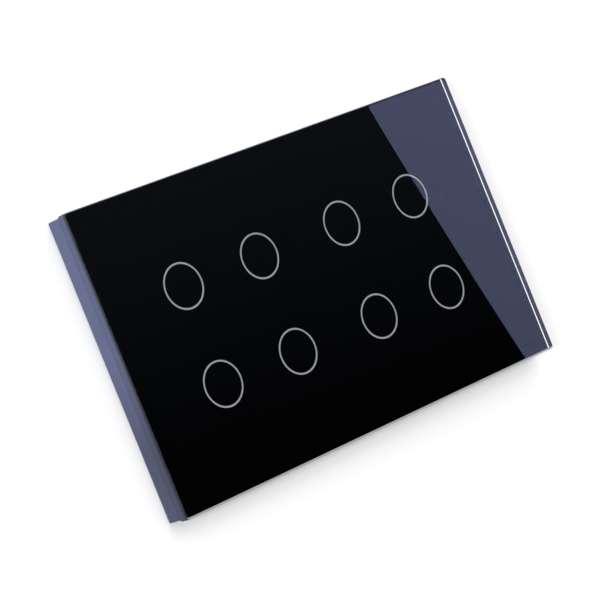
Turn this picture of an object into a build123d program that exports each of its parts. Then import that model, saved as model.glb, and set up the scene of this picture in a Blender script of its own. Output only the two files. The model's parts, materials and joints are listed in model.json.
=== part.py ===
from build123d import *

import os

# Eight-way touch light switch on a double-width glass plate, in millimetres.
# X runs to the right and Z up as the switch hangs on a wall, and the glass faces -Y.
# The origin is the middle of the wall plane: the steel plate lies against the wall at Y = 0,
# and the rear housing reaches back from there into the wall box.

# Glass
plate_width = 146.0
plate_height = 86.0
glass_thickness = 4.0
glass_corner_radius = 0.8
front_chamfer = 0.55
rear_chamfer = 0.3
print_thickness = 0.1
print_margin = 0.05

# Touch zones, each marked by a ring left clear in the print
zone_pitch_x = 28.1
zone_middle_pitch = 32.05
zone_pitch_z = 28.2
ring_radius = 6.325
ring_line = 0.5

# Panel frame, taped to the back of the glass
projection = 9.2
tape_thickness = 0.25
tape_setback = 0.4
frame_inset = 0.45
frame_corner_radius = 0.4
frame_wall = 1.8
flange_thickness = 1.2
flange_gap = 0.8
notch_width = 12.0
notch_depth = 1.2

# Steel mounting plate and the spring clips that hold the panel on it
plate_thickness = 1.0
plate_gap = 1.6
plate_corner_radius = 2.0
plate_seat_depth = 0.3
plate_seat_play = 0.1
fixing_setback = 1.275
fixing_slot_width = 4.2
fixing_slot_length = 8.0
lug_offset = 40.0
lug_width = 12.0
lug_reach = 2.2
clip_width = 8.0
clip_metal = 0.25
clip_play = 0.02
clip_foot = 1.4
clip_rise = 0.85
ridge_height = 0.65
ridge_depth = 0.7
ridge_setback = 0.75

# Front carrier and touch board
carrier_thickness = 1.2
carrier_lap = 2.0
carrier_corner_radius = 2.0
touch_board_thickness = 1.0
touch_margin_x = 1.55
touch_margin_z = 3.175
board_screw_radius = 1.0
board_screw_head_radius = 1.9
board_screw_head_height = 1.2
board_screw_reach = 4.6
board_screw_setback = 2.3
board_boss_radius = 1.9
board_boss_height = 4.2
board_hole_play = 0.15
thread_play = 0.03

# What stands on the touch board
light_ring_wall = 2.0
light_groove_width = 1.2
light_groove_depth = 0.8
ring_gap = 0.05
led_length = 1.6
led_width = 0.8
led_height = 0.6
leds_per_ring = 4
spring_radius = 4.2
spring_wire_radius = 0.25
spring_turns = 2.25
chip_length = 9.9
chip_width = 3.9
chip_height = 1.3
chip_standoff = 0.1
chip_leads_per_side = 8
chip_lead_pitch = 1.27
chip_lead_width = 0.4
chip_lead_span = 6.0
chip_lead_thickness = 0.25
radio_width = 16.0
radio_length = 24.0
radio_board_thickness = 0.8
radio_can_width = 12.0
radio_can_length = 15.0
radio_can_height = 2.2
radio_drop = 2.0
can_offset = 3.0

# Plug between the two boards
board_spacing = 6.8
header_base = 2.5
header_pitch = 2.54
header_columns = 6
header_rows = 2
header_pin = 0.64
header_pin_play = 0.05
header_pin_stickout = 0.5
header_gap = 0.5
socket_floor = 0.5

# Power board and rear housing
power_board_thickness = 1.6
power_board_inset_x = 0.9
power_board_extra_z = 1.5
board_play = 0.3
housing_wall = 1.6
housing_corner_radius = 3.0
housing_headroom = 1.0
column_radius = 2.6
column_setback = 2.9
column_web = 1.2
housing_screw_radius = 1.25
housing_screw_head_radius = 2.2
housing_screw_head_height = 1.6
housing_screw_grip = 5.0
hole_play = 0.15
vent_count = 9
vent_pitch = 6.0
vent_width = 1.6
vent_length = 10.0
vent_setback = 4.5

# Terminals: a screw draws a cage up and grips the wire against a fixed bar
pole_count = 10
poles_per_module = 2
pole_pitch = 7.5
pole_wall = 0.75
module_floor = 1.0
module_roof = 0.7
module_end_wall = 1.2
wire_width = 3.8
wire_height = 4.0
cage_length = 5.8
cage_side_wall = 0.9
cage_floor = 1.0
cage_roof = 1.4
cage_play = 0.1
cage_end_gap = 1.3
clamp_travel = 3.0
bar_thickness = 0.85
bar_play = 0.1
bar_tail_width = 1.0
tail_stickout = 0.8
tail_play = 0.1
terminal_screw_radius = 1.45
terminal_thread_play = 0.05
terminal_head_radius = 2.3
terminal_head_height = 1.6
terminal_head_play = 0.1
driver_hole_radius = 1.9
driver_slot_width = 0.6
driver_slot_depth = 0.8
recess_wall = 1.4
recess_play = 0.1

# Relays, one over each switched terminal
relay_count = 8
relay_width = 7.1
relay_length = 20.5
relay_height = 15.2
relay_wall = 0.5
relay_gap = 0.3
relay_base_thickness = 1.2
relay_base_lift = 0.2
relay_base_play = 0.1
yoke_metal = 1.0
yoke_width = 5.0
yoke_setback = 0.5
yoke_height = 10.8
foot_width = 4.0
core_radius = 1.4
core_setback = 5.0
pole_face_radius = 2.2
pole_face_thickness = 0.5
pole_face_drop = 0.45
bobbin_wall = 0.4
bobbin_play = 0.05
bobbin_flange = 0.6
bobbin_half_width = 2.85
coil_thickness = 0.8
armature_thickness = 0.9
armature_width = 4.8
armature_length = 8.6
armature_gap = 0.1
blade_thickness = 0.2
blade_width = 3.2
blade_length = 14.4
contact_radius = 1.1
moving_contact_height = 0.7
fixed_contact_height = 0.7
contact_gap = 1.04
contact_setback = 1.0
bracket_metal = 0.6
bracket_width = 2.8
bracket_reach = 4.9
pin_width = 0.8
pin_thickness = 0.6
pin_stickout = 0.6
pin_play = 0.1

# Mains supply parts beside the relays
supply_gap = 1.5
transformer_side = 14.0
transformer_height = 12.0
transformer_core_width = 5.0
transformer_winding_radius = 5.6
transformer_flange = 1.0
can_capacitor_radius = 4.0
can_capacitor_height = 12.5
can_capacitor_count = 3
can_capacitor_gap = 1.0
can_rim = 0.5
varistor_radius = 5.0
varistor_thickness = 4.0
varistor_lift = 1.0
varistor_lead_radius = 0.4
varistor_rim = 0.5
resistor_radius = 1.9
resistor_length = 9.0
resistor_lead_radius = 0.35
resistor_lead_reach = 2.0
resistor_bend = 1.0
resistor_rim = 0.5
resistor_lift = 0.3

# Levels from the glass towards the wall box
wall = 0.0
glass_front = wall - projection
glass_rear = glass_front + glass_thickness
print_rear = glass_rear + print_thickness
tape_rear = print_rear + tape_thickness
flange_rear = tape_rear + flange_thickness
plate_front = wall - plate_thickness
housing_front = wall - plate_seat_depth
carrier_front = plate_front - carrier_thickness
touch_rear = carrier_front
touch_front = touch_rear - touch_board_thickness
zone_top = print_rear + ring_gap
power_front = touch_rear + board_spacing
power_rear = power_front + power_board_thickness
housing_inner_rear = power_rear + relay_height + housing_headroom
housing_rear = housing_inner_rear + housing_wall

# Places across the switch
zone_columns = (
    -zone_middle_pitch / 2 - zone_pitch_x,
    -zone_middle_pitch / 2,
    zone_middle_pitch / 2,
    zone_middle_pitch / 2 + zone_pitch_x,
)
zone_rows = (-zone_pitch_z / 2, zone_pitch_z / 2)
zones = [(x, z) for z in zone_rows for x in zone_columns]
light_ring_outer = ring_radius + light_ring_wall / 2
light_ring_inner = ring_radius - light_ring_wall / 2
touch_width = 2 * (zone_columns[-1] + light_ring_outer + touch_margin_x)
touch_height = 2 * (zone_rows[-1] + light_ring_outer + touch_margin_z)
power_width = touch_width - 2 * power_board_inset_x
power_height = touch_height + 2 * power_board_extra_z
cavity_width = power_width + 2 * board_play
cavity_height = power_height + 2 * board_play
housing_width = cavity_width + 2 * housing_wall
housing_height = cavity_height + 2 * housing_wall
carrier_width = cavity_width + 2 * carrier_lap
carrier_height = cavity_height + 2 * carrier_lap
frame_width = plate_width - 2 * frame_inset
frame_height = plate_height - 2 * frame_inset
skirt_width = frame_width - 2 * frame_wall
skirt_height = frame_height - 2 * frame_wall
mounting_width = skirt_width - 2 * plate_gap
fixing_spacing = (housing_width + mounting_width) / 2 - 2 * fixing_setback
mounting_height = skirt_height - 2 * plate_gap
opening_width = carrier_width + 2 * flange_gap
opening_height = carrier_height + 2 * flange_gap
column_x = power_width / 2 - column_setback
column_z = power_height / 2 - column_setback
board_screw_x = (zone_columns[-1] + zone_columns[-2]) / 2
board_screw_z = touch_height / 2 - board_screw_setback
window_height = board_screw_z - board_boss_radius
window_width = column_x - column_radius
corners = [(x, z) for x in (-1, 1) for z in (-1, 1)]


def block(x0, x1, y0, y1, z0, z1):
    """A box between two corners."""
    size = Box(x1 - x0, y1 - y0, z1 - z0, align=(Align.MIN, Align.MIN, Align.MIN))
    return Pos(x0, y0, z0) * size


def slab(width, height, front, rear, radius=0.0):
    """A plate parallel to the wall, centred on the Y axis."""
    outline = RectangleRounded(width, height, radius) if radius > 0 else Rectangle(width, height)
    return extrude(Plane.XZ.offset(-rear) * outline, rear - front)


def peg(radius, x, z, front, rear):
    """A round bar along Y."""
    return Pos(x, front, z) * Rot(-90, 0, 0) * Cylinder(
        radius, rear - front, align=(Align.CENTER, Align.CENTER, Align.MIN)
    )


def tube(outer, inner, x, z, front, rear):
    """A round tube along Y."""
    return peg(outer, x, z, front, rear) - peg(inner, x, z, front, rear)


def write(name, *pieces):
    """Write one node, with each of its pieces as a solid of its own."""
    solids = [solid for piece in pieces for solid in piece.solids()]
    export_step(Compound(children=solids) if len(solids) > 1 else solids[0], f"parts/{name}.step")


# Front panel


def glass_plate():
    glass = slab(plate_width, plate_height, glass_front, glass_rear, glass_corner_radius)
    glass = chamfer(glass.faces().sort_by(Axis.Y)[0].edges(), front_chamfer)
    return chamfer(glass.faces().sort_by(Axis.Y)[-1].edges(), rear_chamfer)


def ring_windows():
    outer = ring_radius + ring_line / 2
    inner = ring_radius - ring_line / 2
    return [tube(outer, inner, x, z, glass_rear, print_rear) for x, z in zones]


def glass_print():
    edge = rear_chamfer + print_margin
    sheet = slab(plate_width - 2 * edge, plate_height - 2 * edge, glass_rear, print_rear)
    return sheet - ring_windows()


def panel_tape():
    edge = frame_inset + tape_setback
    outline = slab(plate_width - 2 * edge, plate_height - 2 * edge, print_rear, tape_rear)
    return outline - slab(opening_width, opening_height, print_rear, tape_rear)


def panel_frame():
    frame = slab(frame_width, frame_height, tape_rear, wall, frame_corner_radius)
    frame -= slab(skirt_width, skirt_height, flange_rear, wall)
    frame -= slab(opening_width, opening_height, tape_rear, flange_rear)
    inside = skirt_height / 2
    tip = inside - ridge_height
    rear = wall - ridge_setback
    for side, end in corners:
        x = side * lug_offset
        low, high = sorted((end * tip, end * inside))
        frame += block(x - lug_width / 2, x + lug_width / 2, rear - ridge_depth, rear, low, high)
    return frame - block(
        -notch_width / 2, notch_width / 2, wall - notch_depth, wall, -frame_height / 2, -inside
    )


# Mounting plate


def mounting_plate():
    plate = slab(mounting_width, mounting_height, plate_front, wall, plate_corner_radius)
    plate -= slab(cavity_width, cavity_height, plate_front, wall)
    seat = 2 * plate_seat_play
    plate -= slab(
        housing_width + seat, housing_height + seat, housing_front, wall, housing_corner_radius
    )
    slot = SlotOverall(fixing_slot_length, fixing_slot_width)
    for side in (-1, 1):
        place = Plane.XZ.offset(-wall) * Pos(side * fixing_spacing / 2, 0)
        plate -= extrude(place * slot, plate_thickness)
    edge = mounting_height / 2
    for side, end in corners:
        x = side * lug_offset
        low, high = sorted((end * edge, end * (edge - plate_thickness)))
        front = plate_front - lug_reach
        plate += block(x - lug_width / 2, x + lug_width / 2, front, plate_front, low, high)
    return plate


def catch_spring(side, end):
    """A strip of spring steel folded over a lug, with a bump that the panel's ridge snaps over."""
    half = clip_metal / 2
    face = mounting_height / 2
    top = plate_front - lug_reach - clip_play - half
    inner = face - plate_thickness - clip_play - half
    outer = face + clip_play + half
    tip = outer + clip_rise
    foot = top + clip_foot
    ridge_front = wall - ridge_setback - ridge_depth
    bump = (top + ridge_front) / 2
    route = Polyline(
        (foot, inner), (top, inner), (top, outer), (bump, tip), (ridge_front, outer)
    )
    strip = Plane.YZ * trace(route, clip_metal)
    spring = Pos(-clip_width / 2, 0, 0) * extrude(strip, clip_width)
    if end < 0:
        spring = mirror(spring, about=Plane.XY)
    return Pos(side * lug_offset, 0, 0) * spring


def front_carrier():
    carrier = slab(
        carrier_width, carrier_height, carrier_front, plate_front, carrier_corner_radius
    )
    carrier -= slab(2 * window_width, 2 * window_height, carrier_front, plate_front)
    for side, end in corners:
        x, z = side * column_x, end * column_z
        carrier += peg(column_radius, x, z, plate_front, power_front)
        hole = housing_screw_radius + thread_play
        carrier -= peg(hole, x, z, power_front - housing_screw_grip, power_front)
        x, z = side * board_screw_x, end * board_screw_z
        carrier += peg(board_boss_radius, x, z, plate_front, plate_front + board_boss_height)
        hole = board_screw_radius + thread_play
        carrier -= peg(hole, x, z, carrier_front, touch_front + board_screw_reach)
    return carrier


# Touch board and what stands on it

header_half_width = header_columns * header_pitch / 2
header_half_height = header_rows * header_pitch / 2
header_z = window_height - header_gap - header_half_height
header_places = [
    (
        header_pitch * (i - (header_columns - 1) / 2),
        header_z + header_pitch * (j - (header_rows - 1) / 2),
    )
    for i in range(header_columns)
    for j in range(header_rows)
]
header_front = touch_front - header_pin_stickout
header_rear = touch_rear + header_base


def square_pin(x, z, width, front, rear):
    half = width / 2
    return block(x - half, x + half, front, rear, z - half, z + half)


def touch_board():
    board = slab(touch_width, touch_height, touch_front, touch_rear)
    for side, end in corners:
        hole = board_screw_radius + board_hole_play
        board -= peg(hole, side * board_screw_x, end * board_screw_z, touch_front, touch_rear)
    width = header_pin + 2 * header_pin_play
    return board - [square_pin(x, z, width, touch_front, touch_rear) for x, z in header_places]


def board_screw(x, z):
    tip = touch_front + board_screw_reach - board_hole_play
    screw = peg(board_screw_radius, x, z, touch_front, tip)
    return screw + peg(
        board_screw_head_radius, x, z, touch_front - board_screw_head_height, touch_front
    )


def light_ring(x, z):
    ring = tube(light_ring_outer, light_ring_inner, x, z, zone_top, touch_front)
    outer = ring_radius + light_groove_width / 2
    inner = ring_radius - light_groove_width / 2
    return ring - tube(outer, inner, x, z, touch_front - light_groove_depth, touch_front)


def ring_leds(x, z):
    leds = []
    for i in range(leds_per_ring):
        turn = 360 / leds_per_ring * (i + 0.5)
        led = block(
            ring_radius - led_width / 2, ring_radius + led_width / 2,
            touch_front - led_height, touch_front, -led_length / 2, led_length / 2,
        )
        leds.append(Pos(x, 0, z) * Rot(0, turn, 0) * led)
    return leds


def touch_spring(x, z):
    """An open coil that carries the touch pad's signal from the glass to the board."""
    height = touch_front - zone_top - 2 * spring_wire_radius
    path = Helix(
        pitch=height / spring_turns, height=height, radius=spring_radius,
        center=(x, touch_front - spring_wire_radius, z), direction=(0, -1, 0),
    )
    section = Plane(origin=path @ 0, z_dir=path % 0) * Circle(spring_wire_radius)
    return sweep(section, path=path, is_frenet=True)


def chip(x, z, front):
    """A gull-wing chip lying in front of a board face, long side along X."""
    low = front - chip_standoff
    body = block(
        x - chip_length / 2, x + chip_length / 2, low - chip_height, low,
        z - chip_width / 2, z + chip_width / 2,
    )
    for i in range(chip_leads_per_side):
        middle = x + chip_lead_pitch * (i - (chip_leads_per_side - 1) / 2)
        left, right = middle - chip_lead_width / 2, middle + chip_lead_width / 2
        knee = low - chip_height / 2
        for end in (-1, 1):
            inner, outer = end * chip_width / 2, end * chip_lead_span / 2
            heel = end * (chip_lead_span / 2 - chip_lead_thickness)
            low_z, high_z = sorted((z + inner, z + outer))
            body += block(left, right, knee - chip_lead_thickness, knee, low_z, high_z)
            low_z, high_z = sorted((z + heel, z + outer))
            body += block(left, right, knee, front, low_z, high_z)
    return body


def radio_module():
    top = radio_length / 2 - radio_drop
    board_rear = touch_rear + radio_board_thickness
    board = block(
        -radio_width / 2, radio_width / 2, touch_rear, board_rear, top - radio_length, top
    )
    low = top - radio_length + (radio_length - radio_can_length) / 2 - can_offset
    can = block(
        -radio_can_width / 2, radio_can_width / 2, board_rear, board_rear + radio_can_height,
        low, low + radio_can_length,
    )
    return board, can


def board_header():
    base = block(
        -header_half_width, header_half_width, touch_rear, header_rear,
        header_z - header_half_height, header_z + header_half_height,
    )
    tip = power_front - socket_floor - header_pin_play
    pins = [square_pin(x, z, header_pin, header_front, tip) for x, z in header_places]
    return base - pins, pins


def board_socket():
    body = block(
        -header_half_width, header_half_width, header_rear, power_front,
        header_z - header_half_height, header_z + header_half_height,
    )
    width = header_pin + 2 * header_pin_play
    rear = power_front - socket_floor
    return body - [square_pin(x, z, width, header_rear, rear) for x, z in header_places]


# Terminals

block_bottom = -housing_height / 2
cage_front = power_rear + module_floor + cage_play
wire_front = cage_front + cage_floor
bar_front = wire_front + wire_height + bar_play / 2
bar_rear = bar_front + bar_thickness
cage_roof_front = bar_rear + bar_play
cage_rear = cage_roof_front + cage_roof
head_front = cage_rear + clamp_travel + terminal_head_play
head_rear = head_front + terminal_head_height
module_rear = head_rear + terminal_head_play + module_roof
cage_low = block_bottom + module_end_wall + cage_end_gap
cage_high = cage_low + cage_length
cage_middle = (cage_low + cage_high) / 2
bar_high = cage_high + cage_end_gap
bar_low = cage_low + bar_play
cavity_low = block_bottom + module_end_wall
cavity_high = bar_high + tail_play
block_top = cavity_high + module_end_wall
pole_half_width = pole_pitch / 2 - pole_wall
cage_half_width = wire_width / 2 + cage_side_wall
poles = [pole_pitch * (i - (pole_count - 1) / 2) for i in range(pole_count)]


def terminal_module(x_poles):
    module = block(
        x_poles[0] - pole_pitch / 2, x_poles[-1] + pole_pitch / 2,
        power_rear, module_rear, block_bottom, block_top,
    )
    floor = power_rear + module_floor
    roof = module_rear - module_roof
    for x in x_poles:
        module -= block(
            x - pole_half_width, x + pole_half_width, floor, roof, cavity_low, cavity_high
        )
        module -= peg(driver_hole_radius, x, cage_middle, roof, module_rear)
        module -= block(
            x - wire_width / 2, x + wire_width / 2,
            wire_front, wire_front + wire_height, block_bottom, cavity_low,
        )
        tail = bar_tail_width / 2 + tail_play
        module -= block(
            x - tail, x + tail, power_rear, floor, bar_high - bar_thickness - tail_play, cavity_high
        )
    return module


def clamp_cage(x):
    cage = block(
        x - cage_half_width, x + cage_half_width, cage_front, cage_rear, cage_low, cage_high
    )
    cage -= block(
        x - wire_width / 2, x + wire_width / 2, wire_front, cage_roof_front, cage_low, cage_high
    )
    hole = terminal_screw_radius + terminal_thread_play
    return cage - peg(hole, x, cage_middle, cage_roof_front, cage_rear)


def terminal_bar(x):
    half = wire_width / 2 - 2 * bar_play
    back = bar_high - bar_thickness
    bar = block(x - half, x + half, bar_front, bar_rear, bar_low, bar_high)
    bar += block(x - half, x + half, cage_front, bar_rear, back, bar_high)
    tail = bar_tail_width / 2
    return bar + block(x - tail, x + tail, power_front - tail_stickout, bar_rear, back, bar_high)


def terminal_screw(x):
    tip = bar_rear + terminal_thread_play
    screw = peg(terminal_screw_radius, x, cage_middle, tip, head_front)
    screw += peg(terminal_head_radius, x, cage_middle, head_front, head_rear)
    return screw - block(
        x - terminal_head_radius, x + terminal_head_radius,
        head_rear - driver_slot_depth, head_rear,
        cage_middle - driver_slot_width / 2, cage_middle + driver_slot_width / 2,
    )


# Relays: up is away from the board, and along runs from the hinge end down to the contacts

relay_bottom = block_top + recess_play + recess_wall + relay_gap
relay_top = relay_bottom + relay_length
relay_places = poles[pole_count - relay_count:]
base_top = relay_base_lift + relay_base_thickness
foot_top = base_top + yoke_metal
yoke_along = relay_wall + yoke_setback
core_along = yoke_along + core_setback
yoke_top = base_top + yoke_height
hinge_up = yoke_top + armature_gap
pole_face_top = yoke_top - pole_face_drop
pole_face_bottom = pole_face_top - pole_face_thickness
bobbin_top = pole_face_bottom - bobbin_play
armature_top = hinge_up + armature_thickness
blade_top = armature_top + blade_thickness
contact_along = yoke_along + blade_length - contact_setback
moving_contact_up = armature_top - moving_contact_height
fixed_contact_up = moving_contact_up - contact_gap
arm_up = fixed_contact_up - fixed_contact_height
post_along = contact_along - contact_radius + bracket_reach


def relay_block(x, half_width, along0, along1, up0, up1):
    """A box inside a relay, centred across its width."""
    return block(
        x - half_width, x + half_width, power_rear + up0, power_rear + up1,
        relay_top - along1, relay_top - along0,
    )


def relay_peg(x, radius, along, up0, up1):
    return peg(radius, x, relay_top - along, power_rear + up0, power_rear + up1)


def relay_pin(x, along, play=0.0):
    """A solder pin down through the base and the power board, or the hole for it."""
    low = -power_board_thickness - pin_stickout
    half = pin_width / 2 + play
    return relay_block(x, half, along - play, along + pin_thickness + play, low, base_top)


pin_places = (yoke_along, post_along)


def relay_cover(x):
    cover = relay_block(x, relay_width / 2, 0, relay_length, 0, relay_height)
    inside = relay_width / 2 - relay_wall
    return cover - relay_block(
        x, inside, relay_wall, relay_length - relay_wall, 0, relay_height - relay_wall
    )


def relay_base(x):
    """The moulded base with the bobbin that stands on it."""
    edge = relay_wall + relay_base_play
    base = relay_block(
        x, relay_width / 2 - edge, edge, relay_length - edge, relay_base_lift, base_top
    )
    for along in pin_places:
        base -= relay_pin(x, along, pin_play)
    near, far = core_along - bobbin_half_width, core_along + bobbin_half_width
    foot_side = foot_width / 2 + bobbin_play
    lower = foot_top + bobbin_play
    sides = relay_block(x, bobbin_half_width, near, far, base_top, lower)
    base += sides - relay_block(x, foot_side, near, far, base_top, lower)
    base += relay_block(x, bobbin_half_width, near, far, lower, lower + bobbin_flange)
    base += relay_block(x, bobbin_half_width, near, far, bobbin_top - bobbin_flange, bobbin_top)
    inner = core_radius + bobbin_play
    base += relay_peg(x, inner + bobbin_wall, core_along, lower, bobbin_top)
    return base - relay_peg(x, inner, core_along, lower, bobbin_top)


def relay_coil(x):
    inner = core_radius + bobbin_play + bobbin_wall
    low = foot_top + bobbin_play + bobbin_flange
    high = bobbin_top - bobbin_flange
    outer = relay_peg(x, inner + coil_thickness, core_along, low, high)
    return outer - relay_peg(x, inner, core_along, low, high)


def relay_yoke(x):
    """The bent steel yoke, and the core that is riveted into its foot."""
    near = yoke_along
    yoke = relay_block(x, yoke_width / 2, near, near + yoke_metal, base_top, yoke_top)
    far = core_along + core_radius
    yoke += relay_block(x, foot_width / 2, near, far, base_top, foot_top)
    yoke += relay_pin(x, near)
    core = relay_peg(x, core_radius, core_along, foot_top, pole_face_bottom)
    core += relay_peg(x, pole_face_radius, core_along, pole_face_bottom, pole_face_top)
    return yoke, core


def relay_contact(x):
    """The fixed contact on its bracket."""
    near = contact_along - contact_radius
    half = bracket_width / 2
    bracket = relay_block(x, half, near, post_along, arm_up - bracket_metal, arm_up)
    bracket += relay_block(x, half, post_along, post_along + bracket_metal, base_top, arm_up)
    bracket += relay_pin(x, post_along)
    rivet = relay_peg(x, contact_radius, contact_along, arm_up, fixed_contact_up)
    return bracket, rivet


def relay_armature(x):
    """The hinged steel plate with the contact blade riveted on it."""
    near = yoke_along
    plate = relay_block(
        x, armature_width / 2, near, near + armature_length, hinge_up, armature_top
    )
    blade = relay_block(
        x, blade_width / 2, near + contact_setback, near + blade_length, armature_top, blade_top
    )
    contact = relay_peg(x, contact_radius, contact_along, moving_contact_up, armature_top)
    return plate, blade, contact


# Power board, its supply parts and the rear housing

supply_right = relay_places[0] - relay_width / 2 - supply_gap
supply_left = -cavity_width / 2 + supply_gap
transformer_x = (supply_left + supply_right) / 2
transformer_z = relay_bottom + transformer_side / 2
small_part_z = relay_top + supply_gap + varistor_thickness
varistor_x = relay_places[0]
resistor_x = (
    varistor_x + varistor_radius + supply_gap + resistor_lead_reach + resistor_length / 2
)


def power_board():
    board = slab(power_width, power_height, power_front, power_rear)
    for side, end in corners:
        hole = housing_screw_radius + hole_play
        board -= peg(hole, side * column_x, end * column_z, power_front, power_rear)
    tail = bar_tail_width / 2 + tail_play
    back = bar_high - bar_thickness - tail_play
    for x in poles:
        board -= block(x - tail, x + tail, power_front, power_rear, back, bar_high + tail_play)
    for x in relay_places:
        for along in pin_places:
            board -= relay_pin(x, along, pin_play)
    return board


def transformer():
    """Two ferrite core halves round a wound bobbin."""
    x, z = transformer_x, transformer_z
    half = transformer_side / 2
    low, high = power_rear, power_rear + transformer_height
    flanges = [
        block(x - half, x + half, y, y + transformer_flange, z - half, z + half)
        for y in (low, high - transformer_flange)
    ]
    core_half = transformer_core_width / 2
    inner_low, inner_high = low + transformer_flange, high - transformer_flange
    limb = half - transformer_winding_radius
    core = [
        block(x0, x0 + limb, inner_low, inner_high, z - core_half, z + core_half)
        for x0 in (x - half, x + half - limb)
    ]
    winding = peg(transformer_winding_radius, x, z, inner_low, inner_high)
    return flanges[0], flanges[1], core[0], core[1], winding


def bulk_capacitors():
    """Electrolytic cans in a row above the transformer."""
    pitch = 2 * can_capacitor_radius + can_capacitor_gap
    z = transformer_z + transformer_side / 2 + supply_gap + can_capacitor_radius
    start = transformer_x - pitch * (can_capacitor_count - 1) / 2
    cans = []
    for i in range(can_capacitor_count):
        can = peg(
            can_capacitor_radius, start + i * pitch, z, power_rear, power_rear + can_capacitor_height
        )
        cans.append(fillet(can.faces().sort_by(Axis.Y)[-1].edges(), can_rim))
    return cans


def varistor():
    middle = power_rear + varistor_lift + varistor_radius
    disc = Pos(varistor_x, middle, small_part_z) * Cylinder(varistor_radius, varistor_thickness)
    disc = fillet(disc.edges(), varistor_rim)
    for side in (-1, 1):
        x = varistor_x + side * varistor_radius / 2
        disc += peg(varistor_lead_radius, x, small_part_z, power_rear, middle)
    return disc


def fuse_resistor():
    """A wire-wound resistor lying on the board, with both leads bent down into it."""
    middle = power_rear + resistor_radius + resistor_lift
    across = Rot(0, 90, 0)
    body = Pos(resistor_x, middle, small_part_z) * across * Cylinder(
        resistor_radius, resistor_length
    )
    body = fillet(body.edges(), resistor_rim)
    reach = resistor_length / 2 + resistor_lead_reach - resistor_lead_radius
    left, right = resistor_x - reach, resistor_x + reach
    route = FilletPolyline(
        (left, power_rear, small_part_z), (left, middle, small_part_z),
        (right, middle, small_part_z), (right, power_rear, small_part_z),
        radius=resistor_bend,
    )
    section = Plane(route @ 0, z_dir=route % 0) * Circle(resistor_lead_radius)
    return body + sweep(section, route)


def rear_housing():
    housing = slab(
        housing_width, housing_height, housing_front, housing_rear, housing_corner_radius
    )
    housing -= slab(cavity_width, cavity_height, housing_front, housing_inner_rear)
    for side, end in corners:
        x, z = side * column_x, end * column_z
        housing += peg(column_radius, x, z, power_rear, housing_inner_rear)
        low, high = sorted((x, side * cavity_width / 2))
        housing += block(
            low, high, power_rear, housing_inner_rear, z - column_web / 2, z + column_web / 2
        )
        housing -= peg(housing_screw_radius + hole_play, x, z, power_rear, housing_rear)
        seat = housing_rear - housing_screw_head_height - hole_play
        housing -= peg(housing_screw_head_radius + hole_play, x, z, seat, housing_rear)
    half = pole_pitch * pole_count / 2 + recess_play
    top = block_top + recess_play
    low = power_rear + recess_play
    housing += block(
        -half - recess_wall, half + recess_wall, low, housing_inner_rear,
        block_bottom, top + recess_wall,
    )
    housing -= block(-half, half, power_rear, housing_rear, block_bottom, top)
    vent_top = cavity_height / 2 - vent_setback
    for i in range(vent_count):
        x = vent_pitch * (i - (vent_count - 1) / 2)
        housing -= block(
            x - vent_width / 2, x + vent_width / 2, housing_inner_rear, housing_rear,
            vent_top - vent_length, vent_top,
        )
    return housing


def housing_screw(x, z):
    seat = housing_rear - housing_screw_head_height - hole_play
    tip = power_front - housing_screw_grip + hole_play
    screw = peg(housing_screw_radius, x, z, tip, seat)
    screw += peg(housing_screw_head_radius, x, z, seat, seat + housing_screw_head_height)
    return screw - block(
        x - housing_screw_head_radius, x + housing_screw_head_radius,
        seat + housing_screw_head_height / 2, seat + housing_screw_head_height,
        z - driver_slot_width / 2, z + driver_slot_width / 2,
    )


def main():
    os.makedirs("parts", exist_ok=True)

    write("glass_plate", glass_plate())
    write("glass_print", glass_print())
    write("ring_windows", *ring_windows())
    write("panel_tape", panel_tape())
    write("panel_frame", panel_frame())

    write("mounting_plate", mounting_plate())
    write("catch_springs", *[catch_spring(side, end) for side, end in corners])
    write("front_carrier", front_carrier())

    write("touch_board", touch_board())
    write(
        "board_screws",
        *[board_screw(side * board_screw_x, end * board_screw_z) for side, end in corners],
    )
    write("light_rings", *[light_ring(x, z) for x, z in zones])
    write("ring_leds", *[led for x, z in zones for led in ring_leds(x, z)])
    write("touch_springs", *[touch_spring(x, z) for x, z in zones])
    write("touch_chips", *[chip(side * board_screw_x, 0, touch_front) for side in (-1, 1)])
    write("radio_module", *radio_module())
    header, pins = board_header()
    write("board_header", header, *pins)
    write("board_socket", board_socket())

    write("power_board", power_board())
    write("transformer", *transformer())
    write("bulk_capacitors", *bulk_capacitors())
    write("varistor", varistor())
    write("fuse_resistor", fuse_resistor())
    write("rear_housing", rear_housing())
    write(
        "housing_screws",
        *[housing_screw(side * column_x, end * column_z) for side, end in corners],
    )

    write("relay_covers", *[relay_cover(x) for x in relay_places])
    write("relay_bases", *[relay_base(x) for x in relay_places])
    write("relay_coils", *[relay_coil(x) for x in relay_places])
    write("relay_yokes", *[piece for x in relay_places for piece in relay_yoke(x)])
    write("relay_contacts", *[piece for x in relay_places for piece in relay_contact(x)])
    for number, x in enumerate(relay_places, start=1):
        write(f"relay_armature_{number}", *relay_armature(x))

    modules = [poles[i:i + poles_per_module] for i in range(0, pole_count, poles_per_module)]
    write("terminal_housing", *[terminal_module(module) for module in modules])
    write("terminal_bars", *[terminal_bar(x) for x in poles])
    for number, x in enumerate(poles, start=1):
        write(f"clamp_cage_{number}", clamp_cage(x))
        write(f"terminal_screw_{number}", terminal_screw(x))


main()
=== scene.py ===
import json
import math

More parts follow.
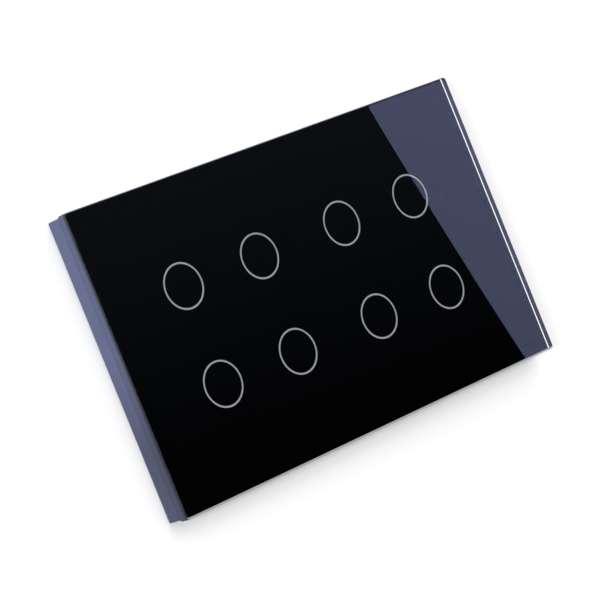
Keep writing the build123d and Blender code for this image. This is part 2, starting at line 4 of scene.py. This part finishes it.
import bmesh
import bpy
from mathutils import Euler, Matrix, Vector

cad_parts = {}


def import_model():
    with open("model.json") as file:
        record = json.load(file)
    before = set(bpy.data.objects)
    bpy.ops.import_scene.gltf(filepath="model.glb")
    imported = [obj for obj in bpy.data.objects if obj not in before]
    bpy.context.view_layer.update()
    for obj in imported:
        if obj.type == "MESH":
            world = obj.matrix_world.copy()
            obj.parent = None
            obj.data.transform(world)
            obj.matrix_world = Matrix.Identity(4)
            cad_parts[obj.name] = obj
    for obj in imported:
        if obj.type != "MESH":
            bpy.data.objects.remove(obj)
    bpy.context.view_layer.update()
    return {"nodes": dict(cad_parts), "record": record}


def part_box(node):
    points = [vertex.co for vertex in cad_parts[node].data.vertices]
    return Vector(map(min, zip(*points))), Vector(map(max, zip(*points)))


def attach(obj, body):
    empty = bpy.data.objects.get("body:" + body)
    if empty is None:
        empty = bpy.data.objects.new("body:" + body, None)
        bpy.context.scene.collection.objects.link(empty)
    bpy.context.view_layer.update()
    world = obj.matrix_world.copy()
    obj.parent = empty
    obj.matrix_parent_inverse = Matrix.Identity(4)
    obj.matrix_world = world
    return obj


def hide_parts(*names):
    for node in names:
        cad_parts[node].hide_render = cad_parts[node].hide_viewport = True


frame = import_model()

MM = 0.001
WHITE = (1.0, 1.0, 1.0)

# Camera, solved from the eight rings and the edges of the plate
camera_place = (-473.63 * MM, -568.78 * MM, 8.46 * MM)
camera_turn = (89.171, 22.007, -39.926)
camera_lens = 158.702
camera_sensor = 36.0
camera_near = 0.01
camera_far = 10.0

# Shape of the glass plate
glass_low, glass_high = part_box("glass_plate")
_, rings_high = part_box("ring_windows")
edge_radius = 0.55 * MM
# Share of the front edge's rounding, at the top, that carries the painted shade
painted_shade_share = 0.6
rear_chamfer = 0.3 * MM
corner_radius = 0.8 * MM
ink_gap = 0.02 * MM
ring_line = 0.5 * MM
ring_radius = 6.325 * MM
zone_pitch_x = 28.1 * MM
corner_steps = 6
arris_steps = 6
ring_steps = 96

# Glass and ink
glass_index = 1.52
ink_colour = (0.001, 0.001, 0.0013)
ground_colour = (0.066, 0.075, 0.13)
# Ground colour seen from inside the glass, darkened as painted shade
ground_painted_inside = (0.06, 0.06, 0.1)
ground_roughness = 0.5
ground_specular = 0.1

# Places from the front of the glass to its back, with the share of the ground colour at each
ground_levels = ((0.12, 0.08), (0.22, 0.35), (0.34, 0.82), (0.46, 0.97), (0.6, 1.0), (1.0, 1.0))

# Textures that the finishes share
drift_scale = 60.0
drift_start = 0.3
drift_stop = 0.7
fine_detail = 3.0
grain_height = 0.02 * MM
moulded_edge = 0.12 * MM
paint_scale = 90.0
paint_detail = 2.0
paint_shade = 0.97
streak_shade = 0.86
streak_polish = 0.8
streak_dullness = 1.25
streak_strength = 0.1
streak_height = 0.01 * MM
metal_edge = 0.08 * MM
bevel_samples = 4
new_stop = 0.5

# Wall
wall_reach = 600.0 * MM
wall_gap = 2.0 * MM
wall_place = 0.3 * MM
wall_shown = 0.72
wall_lift = 0.08

# World, where a height or a depth is a part of the unit vector of the direction
world_level = 0.9
world_tilt = 0.75
room_tint = (0.8, 1.0, 1.35)
room_low = 0.01
room_high = 0.09
room_low_height = -0.055
room_high_height = 0.05
room_depth = -0.3
white_depth = 0.1
below_one_bounce = 0.5

# Card that the glass mirrors as a window
card_depth = -0.4
card_top = Vector((0.3986, card_depth, 0.0666))
card_bottom = Vector((0.4335, card_depth, -0.0779))
card_reach = Vector((0.12, 0.0, 0.0))
card_bulge = 0.0009
card_margin = 0.01
card_steps = 12
card_low_colour = (0.43, 0.5, 0.82)
card_high_colour = (0.53, 0.6, 1.08)
card_strength = 2.2

# Lamps that light the wall, each aimed at the origin
left_key_place = (-1.48, -1.2, 0.1)
left_key_size = (0.7, 0.2)
left_key_power = 21.5
top_key_place = (0.0, -1.79, 0.65)
top_key_size = (0.4, 0.74)
top_key_power = 7.4

# Spot that lights the upper half of the left side
spot_place = (-0.45, -0.012, 0.06)
spot_aim = (-0.073, -0.004, 0.052)
spot_power = 4.5
spot_angle = 22.0
spot_blend = 0.6
spot_radius = 0.01

# Sockets of the mix nodes, which share their names with others
COLOUR_FACTOR = 0
COLOUR_FIRST = 6
COLOUR_SECOND = 7
COLOUR_RESULT = 2
SHADER_FIRST = 1
SHADER_SECOND = 2


# Node trees

def rgba(colour):
    return (*colour, 1.0)


def shaded(colour, share):
    return tuple(c * share for c in colour)


def feed(tree, value, socket):
    """Link an output to a socket, or write a plain value into it."""
    if isinstance(value, bpy.types.NodeSocket):
        tree.links.new(value, socket)
    else:
        socket.default_value = value


def add(tree, kind, inputs=None, **settings):
    """A node with its settings, and with a value or an output for each of the inputs named."""
    node = tree.nodes.new(kind)
    for name, value in settings.items():
        setattr(node, name, value)
    for name, value in (inputs or {}).items():
        feed(tree, value, node.inputs[name])
    return node


def material(name):
    """A material, and its empty node tree."""
    made = bpy.data.materials.new(name)
    made.use_nodes = True
    made.node_tree.nodes.clear()
    return made, made.node_tree


def show(tree, shader):
    """Make this shader the surface of the material."""
    add(tree, "ShaderNodeOutputMaterial", {"Surface": shader})


def axis(tree, space, name):
    """One axis of the coordinates of this space."""
    place = add(tree, "ShaderNodeTexCoord")
    parts = add(tree, "ShaderNodeSeparateXYZ", {"Vector": place.outputs[space]})
    return parts.outputs[name]


def worked_out(tree, operation, *values):
    """The result of a calculation with two or three values."""
    node = add(tree, "ShaderNodeMath", dict(enumerate(values)), operation=operation)
    return node.outputs["Value"]


def ranged(tree, value, start, stop, low=0.0, high=1.0, **settings):
    """A value that goes from low to high while another goes from start to stop."""
    inputs = {"Value": value, "From Min": start, "From Max": stop, "To Min": low, "To Max": high}
    return add(tree, "ShaderNodeMapRange", inputs, **settings).outputs["Result"]


def mixed_colour(tree, factor, first, second):
    """The first colour, or the second where the factor is one."""
    inputs = {COLOUR_FACTOR: factor, COLOUR_FIRST: first, COLOUR_SECOND: second}
    return add(tree, "ShaderNodeMix", inputs, data_type="RGBA").outputs[COLOUR_RESULT]


def mixed_shader(tree, factor, first, second):
    """The first shader, or the second where the factor is one."""
    inputs = {"Fac": factor, SHADER_FIRST: first, SHADER_SECOND: second}
    return add(tree, "ShaderNodeMixShader", inputs).outputs["Shader"]


def emission(tree, colour, strength):
    return add(tree, "ShaderNodeEmission", {"Color": colour, "Strength": strength}).outputs["Emission"]


def background(tree, colour, strength):
    inputs = {"Color": rgba(colour), "Strength": strength}
    return add(tree, "ShaderNodeBackground", inputs).outputs["Background"]


def principled(tree, plain, linked):
    """A surface with plain values on its sockets, and with outputs linked over some of them."""
    shader = add(tree, "ShaderNodeBsdfPrincipled", plain)
    for name, output in linked.items():
        feed(tree, output, shader.inputs[name])
    return shader.outputs["BSDF"]


def noise(tree, scale, detail, stretch=(1.0, 1.0, 1.0)):
    """A noise over the object, drawn out along an axis where the stretch is below one."""
    place = add(tree, "ShaderNodeTexCoord")
    turned = add(tree, "ShaderNodeMapping", {"Vector": place.outputs["Object"], "Scale": stretch})
    inputs = {"Vector": turned.outputs["Vector"], "Scale": scale, "Detail": detail}
    return add(tree, "ShaderNodeTexNoise", inputs).outputs["Fac"]


def colour_stops(tree, source, stops):
    """A colour that follows a value through stops, each a place and a colour."""
    node = add(tree, "ShaderNodeValToRGB", {"Fac": source})
    elements = node.color_ramp.elements
    while len(elements) < len(stops):
        elements.new(new_stop)
    for element, (place, colour) in zip(elements, stops):
        element.position = place
        element.color = rgba(colour)
    return node.outputs["Color"]


def drifting(tree, source, low, high):
    """A colour that drifts from low to high with a noise."""
    return colour_stops(tree, source, ((drift_start, low), (drift_stop, high)))


def relief(tree, height, strength, distance, edge):
    """A normal with a fine relief, which also rounds sharp edges a little."""
    rounded = add(tree, "ShaderNodeBevel", {"Radius": edge}, samples=bevel_samples)
    inputs = {
        "Height": height,
        "Normal": rounded.outputs["Normal"],
        "Strength": strength,
        "Distance": distance,
    }
    return add(tree, "ShaderNodeBump", inputs).outputs["Normal"]


# Materials

def moulded(name, colour, roughness=0.45, grain=2500.0, depth=0.25, variation=0.08, specular=0.5):
    """Plastic, paint or ceramic with a fine grain in its surface and a slight drift in its colour."""
    made, tree = material(name)
    low = shaded(colour, 1 - variation)
    high = shaded(colour, 1 + variation)
    drift = drifting(tree, noise(tree, drift_scale, fine_detail), low, high)
    bumps = relief(tree, noise(tree, grain, fine_detail), depth, grain_height, moulded_edge)
    plain = {"Base Color": rgba(colour), "Roughness": roughness, "Specular IOR Level": specular}
    show(tree, principled(tree, plain, {"Base Color": drift, "Normal": bumps}))
    return made


def flat_paint(name, colour):
    """Paint behind the glass, without a shine of its own."""
    made, tree = material(name)
    drift = drifting(tree, noise(tree, paint_scale, paint_detail), shaded(colour, paint_shade), colour)
    plain = {"Base Color": rgba(colour), "Roughness": 1.0, "Specular IOR Level": 0.0}
    show(tree, principled(tree, plain, {"Base Color": drift}))
    return made


def metal(name, colour, roughness=0.3, stretch=(1.0, 1.0, 1.0), scale=900.0):
    """Metal with fine streaks along one direction, or an even grain where stretch is all ones."""
    made, tree = material(name)
    streaks = noise(tree, scale, fine_detail, stretch)
    plain = {"Base Color": rgba(colour), "Roughness": roughness, "Metallic": 1.0}
    linked = {
        "Base Color": drifting(tree, streaks, shaded(colour, streak_shade), colour),
        "Roughness": ranged(
            tree, streaks, 0.0, 1.0, roughness * streak_polish, roughness * streak_dullness),
        "Normal": relief(tree, streaks, streak_strength, streak_height, metal_edge),
    }
    show(tree, principled(tree, plain, linked))
    return made


def polished(name, colour, transmission):
    """Polished glass, or black gloss, that lets lamps light what is behind it."""
    made, tree = material(name)
    glass = add(tree, "ShaderNodeBsdfPrincipled", {
        "Base Color": rgba(colour),
        "Roughness": 0.0,
        "IOR": glass_index,
        "Transmission Weight": transmission,
    })
    through = add(tree, "ShaderNodeBsdfTransparent")
    path = add(tree, "ShaderNodeLightPath")
    shadow = path.outputs["Is Shadow Ray"]
    show(tree, mixed_shader(tree, shadow, glass.outputs["BSDF"], through.outputs["BSDF"]))
    return made


def ground_glass():
    """Ground glass, dark by the front edge and paler towards the back, but even from inside, with a
    darker colour there as painted shade.
    """
    made, tree = material("ground_glass")
    depth = ranged(tree, axis(tree, "Object", "Y"), glass_low.y, glass_high.y)
    stops = [(place, shaded(ground_colour, level)) for place, level in ground_levels]
    side = add(tree, "ShaderNodeNewGeometry")
    colour = mixed_colour(
        tree, side.outputs["Backfacing"], colour_stops(tree, depth, stops), rgba(ground_painted_inside))
    plain = {
        "Base Color": rgba(ground_colour),
        "Roughness": ground_roughness,
        "Specular IOR Level": ground_specular,
    }
    show(tree, principled(tree, plain, {"Base Color": colour}))
    return made


def wall_paint():
    """White paint for the camera, plain white in what shines, and nothing from behind."""
    made, tree = material("wall_paint")
    shown = add(tree, "ShaderNodeBsdfDiffuse", {"Color": rgba(shaded(WHITE, wall_shown))})
    lift = emission(tree, rgba(WHITE), wall_lift)
    lifted = add(tree, "ShaderNodeAddShader", dict(enumerate((shown.outputs["BSDF"], lift))))
    path = add(tree, "ShaderNodeLightPath")
    mirrored = worked_out(
        tree, "MAXIMUM", path.outputs["Is Glossy Ray"], path.outputs["Is Transmission Ray"])
    seen = mixed_shader(tree, mirrored, lifted.outputs["Shader"], emission(tree, rgba(WHITE), 1.0))
    side = add(tree, "ShaderNodeNewGeometry")
    nothing = add(tree, "ShaderNodeBsdfTransparent")
    show(tree, mixed_shader(tree, side.outputs["Backfacing"], seen, nothing.outputs["BSDF"]))
    return made


def window_glow():
    """A glow that is brighter at its top."""
    made, tree = material("window_card")
    height = axis(tree, "Generated", "Z")
    colour = mixed_colour(tree, height, rgba(card_low_colour), rgba(card_high_colour))
    show(tree, emission(tree, colour, card_strength))
    return made


# Meshes

def corner_loop(mesh, inset, y):
    """The plate's outline as vertices, this far inside it, turning from +X to +Z."""
    reach_x = (glass_high.x - glass_low.x) / 2 - inset - corner_radius
    reach_z = (glass_high.z - glass_low.z) / 2 - inset - corner_radius
    loop = []
    for k, (sx, sz) in enumerate(((1, 1), (-1, 1), (-1, -1), (1, -1))):
        for i in range(corner_steps + 1):
            angle = math.pi / 2 * (k + i / corner_steps)
            x = sx * reach_x + corner_radius * math.cos(angle)
            z = sz * reach_z + corner_radius * math.sin(angle)
            loop.append(mesh.verts.new((x, y, z)))
    return loop


def circle(mesh, x, y, z, radius):
    loop = []
    for i in range(ring_steps):
        angle = 2 * math.pi * i / ring_steps
        loop.append(mesh.verts.new((x + radius * math.cos(angle), y, z + radius * math.sin(angle))))
    return loop


def bridge(mesh, first, second, slot, smooth=True):
    """Faces between two loops with as many vertices."""
    for i in range(len(first)):
        j = (i + 1) % len(first)
        face = mesh.faces.new((first[i], first[j], second[j], second[i]))
        face.material_index = slot
        face.smooth = smooth


def edges_of(mesh, loop):
    made = []
    for pair in zip(loop, loop[1:] + loop[:1]):
        made.append(mesh.edges.get(pair) or mesh.edges.new(pair))
    return made


def ringed_face(mesh, border, y, reach, band_slot, field_slot):
    """A flat face inside a border: one slot within reach of each ring's line, another elsewhere."""
    edges = edges_of(mesh, border)
    column = rings_high.x - ring_radius - ring_line / 2
    row = rings_high.z - ring_radius - ring_line / 2
    for x in (-column, -column + zone_pitch_x, column - zone_pitch_x, column):
        for z in (-row, row):
            outside = circle(mesh, x, y, z, ring_radius + reach)
            inside = circle(mesh, x, y, z, ring_radius - reach)
            edges += edges_of(mesh, outside)
            bridge(mesh, outside, inside, band_slot, smooth=False)
            mesh.faces.new(inside).material_index = field_slot
    filled = bmesh.ops.triangle_fill(mesh, use_beauty=True, edges=edges, normal=(0, 1, 0))
    for part in filled["geom"]:
        if isinstance(part, bmesh.types.BMFace):
            part.material_index = field_slot
            part.smooth = False


def placed(name, mesh, materials):
    """An object in the scene with this mesh and these materials."""
    data = bpy.data.meshes.new(name)
    mesh.to_mesh(data)
    mesh.free()
    for made in materials:
        data.materials.append(made)
    thing = bpy.data.objects.new(name, data)
    bpy.context.scene.collection.objects.link(thing)
    return thing


# Glass plate, with its ink and rings as faces of its back

CLEAR, GROUND, INK, RING, PAINTED_HIGHLIGHT, PAINTED_SHADE, GLOSS = range(7)


def front_edge(mesh):
    """The rounded front edge: pale below as a painted highlight, dark and dull above as painted shade,
    and clear at the sides.

    It gives back its loop on the face and its loop on the sides.
    """
    loops = []
    for i in range(arris_steps + 1):
        angle = math.pi / 2 * i / arris_steps
        inset = edge_radius * (1 - math.sin(angle))
        y = glass_low.y + edge_radius * (1 - math.cos(angle))
        loops.append(corner_loop(mesh, inset, y))
    for first, second in zip(loops, loops[1:]):
        bridge(mesh, second, first, CLEAR)
    for face in mesh.faces:
        height = face.calc_center_median().z
        if height < glass_low.z + edge_radius:
            face.material_index = PAINTED_HIGHLIGHT
        elif height > glass_high.z - edge_radius * painted_shade_share:
            face.material_index = PAINTED_SHADE
    return loops[0], loops[-1]


def glass_body():
    """The plate with a rounded front edge, ground sides and a chamfer left bare at the back.

    The front is clear where a ring or an edge can show through it from any side, and black
    where only ink lies behind it.
    """
    mesh = bmesh.new()
    front = glass_low.y
    rear = glass_high.y - ink_gap
    face_border, side_front = front_edge(mesh)
    side_rear = corner_loop(mesh, 0.0, rear - rear_chamfer)
    bridge(mesh, side_rear, side_front, GROUND)
    ink_border = corner_loop(mesh, rear_chamfer, rear)
    bridge(mesh, ink_border, side_rear, CLEAR)
    ringed_face(mesh, ink_border, rear, ring_line / 2, RING, INK)
    sideways = (rear - front) / math.sqrt(glass_index ** 2 - 1)
    gloss_border = corner_loop(mesh, edge_radius + sideways, front)
    bridge(mesh, face_border, gloss_border, CLEAR, smooth=False)
    ringed_face(mesh, gloss_border, front, ring_line / 2 + sideways, CLEAR, GLOSS)
    bmesh.ops.recalc_face_normals(mesh, faces=mesh.faces)
    body = placed("glass_body", mesh, (clear, ground, ink, ring_paint, painted_highlight_edge, painted_shade_edge, black_gloss))
    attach(body, "front_panel")
    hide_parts("glass_plate")


clear = polished("clear_glass", WHITE, 1.0)
black_gloss = polished("black_glass", shaded(ink_colour, 1 / glass_index ** 2), 0.0)
ground = ground_glass()
# Painted highlight and painted shade on the front edge: pale below and dark above, for how the light
# falls on it
painted_highlight_edge = moulded("painted_highlight_edge", (0.5, 0.51, 0.56), 0.55, variation=0.05, specular=0.3)
painted_shade_edge = moulded("painted_shade_edge", (0.08, 0.08, 0.115), 0.55, variation=0.05, specular=0.25)
ink = flat_paint("black_ink", ink_colour)
ring_paint = flat_paint("ring_paint", (0.77, 0.795, 0.85))
glass_body()


# Finishes of the CAD nodes, by material slot

finishes = {
    "black_print": ink,
    "ring_ink": ring_paint,
    "tape": moulded("tape", (0.03, 0.03, 0.03), 0.9, grain=1400.0, depth=0.6),
    "panel_plastic": moulded("panel_plastic", (0.066, 0.079, 0.153), 0.45, specular=0.25),
    "plate_steel": metal("plate_steel", (0.6, 0.61, 0.62), 0.34, stretch=(0.15, 1.0, 1.0)),
    "spring_steel": metal("spring_steel", (0.68, 0.68, 0.7), 0.24, stretch=(0.1, 1.0, 1.0)),
    "carrier_plastic": moulded("carrier_plastic", (0.05, 0.05, 0.055), 0.5),
    "board": moulded("board", (0.015, 0.1, 0.045), 0.3, grain=700.0, depth=0.1, variation=0.2),
    "screw_steel": metal("screw_steel", (0.62, 0.62, 0.64), 0.3, scale=2200.0),
    "diffuser": moulded("diffuser", (0.82, 0.83, 0.85), 0.5, variation=0.03),
    "led_body": moulded("led_body", (0.85, 0.8, 0.55), 0.3),
    "chip_body": moulded("chip_body", (0.02, 0.02, 0.022), 0.5),
    "can_metal": metal("can_metal", (0.66, 0.66, 0.64), 0.28, stretch=(1.0, 1.0, 0.2)),
    "header_plastic": moulded("header_plastic", (0.02, 0.02, 0.02), 0.4),
    "ferrite": moulded("ferrite", (0.05, 0.05, 0.055), 0.6, grain=1500.0, depth=0.5),
    "capacitor_sleeve": moulded("capacitor_sleeve", (0.02, 0.03, 0.08), 0.3),
    "varistor_coat": moulded("varistor_coat", (0.03, 0.12, 0.35), 0.4, grain=900.0, depth=0.5),
    "resistor_coat": moulded("resistor_coat", (0.2, 0.35, 0.25), 0.6, grain=900.0, depth=0.5),
    "housing_plastic": moulded("housing_plastic", (0.74, 0.74, 0.72), 0.45, variation=0.02),
    "relay_plastic": moulded("relay_plastic", (0.03, 0.03, 0.035), 0.4),
    "relay_base": moulded("relay_base", (0.05, 0.05, 0.05), 0.5),
    "copper_wire": metal("copper_wire", (0.6, 0.27, 0.12), 0.3, stretch=(1.0, 12.0, 1.0), scale=400.0),
    "core_steel": metal("core_steel", (0.55, 0.55, 0.56), 0.35),
    "contact_brass": metal("contact_brass", (0.72, 0.55, 0.28), 0.3),
    "cage_brass": metal("cage_brass", (0.7, 0.62, 0.42), 0.3, stretch=(1.0, 1.0, 0.3)),
    "terminal_plastic": moulded("terminal_plastic", (0.07, 0.27, 0.15), 0.4),
}
slot_of = {part["node"]: part["material_slot"] for part in frame["record"]["subparts"]}
for name, node in frame["nodes"].items():
    if slot_of[name] in finishes:
        node.data.materials.clear()
        node.data.materials.append(finishes[slot_of[name]])


# Stage

def wall():
    """The wall behind the plate, with a hole for the rear housing."""
    housing_low, housing_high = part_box("rear_housing")
    xs = (-wall_reach, housing_low.x - wall_gap, housing_high.x + wall_gap, wall_reach)
    zs = (-wall_reach, housing_low.z - wall_gap, housing_high.z + wall_gap, wall_reach)
    hole = (1, 1)
    mesh = bmesh.new()
    verts = [[mesh.verts.new((x, wall_place, z)) for z in zs] for x in xs]
    for i in range(len(xs) - 1):
        for j in range(len(zs) - 1):
            if (i, j) != hole:
                mesh.faces.new((verts[i][j], verts[i + 1][j], verts[i + 1][j + 1], verts[i][j + 1]))
    plane = placed("wall", mesh, [wall_paint()])
    plane.visible_diffuse = False
    plane.visible_shadow = False


def world():
    """Soft white light that is stronger from above, and white for the camera.

    Polished glass mirrors a dim room in front of the plate and white behind it.
    """
    made = bpy.data.worlds.new("studio")
    made.use_nodes = True
    tree = made.node_tree
    tree.nodes.clear()
    height = axis(tree, "Generated", "Z")
    depth = axis(tree, "Generated", "Y")
    level = worked_out(tree, "MULTIPLY_ADD", height, world_tilt, world_level)
    soft = background(tree, WHITE, level)
    room_level = ranged(tree, height, room_low_height, room_high_height, room_low, room_high)
    room = background(tree, room_tint, room_level)
    white = background(tree, WHITE, 1.0)
    behind = ranged(tree, depth, room_depth, white_depth, interpolation_type="SMOOTHSTEP")
    mirrored = mixed_shader(tree, behind, room, white)
    path = add(tree, "ShaderNodeLightPath")
    undiffused = worked_out(tree, "LESS_THAN", path.outputs["Diffuse Depth"], below_one_bounce)
    polished_only = worked_out(tree, "MULTIPLY", path.outputs["Is Singular Ray"], undiffused)
    lighting = mixed_shader(tree, polished_only, soft, mirrored)
    seen = mixed_shader(tree, path.outputs["Is Camera Ray"], lighting, white)
    add(tree, "ShaderNodeOutputWorld", {"Surface": seen})
    bpy.context.scene.world = made


def window_card():
    """A glowing card, bulged a little on its left side, which only shows in what shines."""
    side = []
    for i in range(card_steps + 1):
        share = i / card_steps
        point = card_bottom.lerp(card_top, share)
        point.x -= card_bulge * 4 * share * (1 - share)
        side.append(point)
    margin = (card_top - card_bottom).normalized() * card_margin
    side = [side[0] - margin] + side + [side[-1] + margin]
    mesh = bmesh.new()
    first = [mesh.verts.new(point) for point in side]
    second = [mesh.verts.new(point + card_reach) for point in side]
    for i in range(len(side) - 1):
        mesh.faces.new((first[i], first[i + 1], second[i + 1], second[i]))
    sheet = placed("window_card", mesh, [window_glow()])
    sheet.visible_camera = False
    sheet.visible_diffuse = False
    sheet.visible_shadow = False
    sheet.visible_transmission = False


def lamp(name, data, place, aim):
    """A lamp at a place, turned to its aim, which the camera and what shines don't show."""
    made = bpy.data.objects.new(name, data)
    made.location = place
    made.rotation_euler = (Vector(aim) - Vector(place)).to_track_quat("-Z", "Y").to_euler()
    made.visible_camera = False
    made.visible_glossy = False
    bpy.context.scene.collection.objects.link(made)
    return made


def area_light(name, place, size, power):
    """A soft oblong lamp aimed at the origin."""
    data = bpy.data.lights.new(name, "AREA")
    data.shape = "RECTANGLE"
    data.size, data.size_y = size
    data.energy = power
    return lamp(name, data, place, (0.0, 0.0, 0.0))


def side_spot():
    """A soft spot low beside the wall."""
    data = bpy.data.lights.new("side_spot", "SPOT")
    data.energy = spot_power
    data.spot_size = math.radians(spot_angle)
    data.spot_blend = spot_blend
    data.shadow_soft_size = spot_radius
    made = lamp("side_spot", data, spot_place, spot_aim)
    made.visible_transmission = False
    return made


def lights_only(lamps, names):
    """Let the lamps light only these objects."""
    lit = bpy.data.collections.new("lit_by_" + lamps[0].name)
    for name in names:
        lit.objects.link(bpy.data.objects[name])
    for made in lamps:
        made.light_linking.receiver_collection = lit


def camera():
    data = bpy.data.cameras.new("camera")
    data.lens = camera_lens
    data.sensor_width = camera_sensor
    data.clip_start = camera_near
    data.clip_end = camera_far
    made = bpy.data.objects.new("camera", data)
    made.location = camera_place
    made.rotation_euler = Euler([math.radians(a) for a in camera_turn], "XYZ")
    bpy.context.scene.collection.objects.link(made)
    bpy.context.scene.camera = made


wall()
world()
window_card()
spot = side_spot()
left_key = area_light("left_key", left_key_place, left_key_size, left_key_power)
top_key = area_light("top_key", top_key_place, top_key_size, top_key_power)
lights_only([left_key, top_key], ["wall"])
lights_only([spot], ["glass_body", "panel_frame"])
camera()
bpy.context.scene.view_settings.view_transform = "Standard"
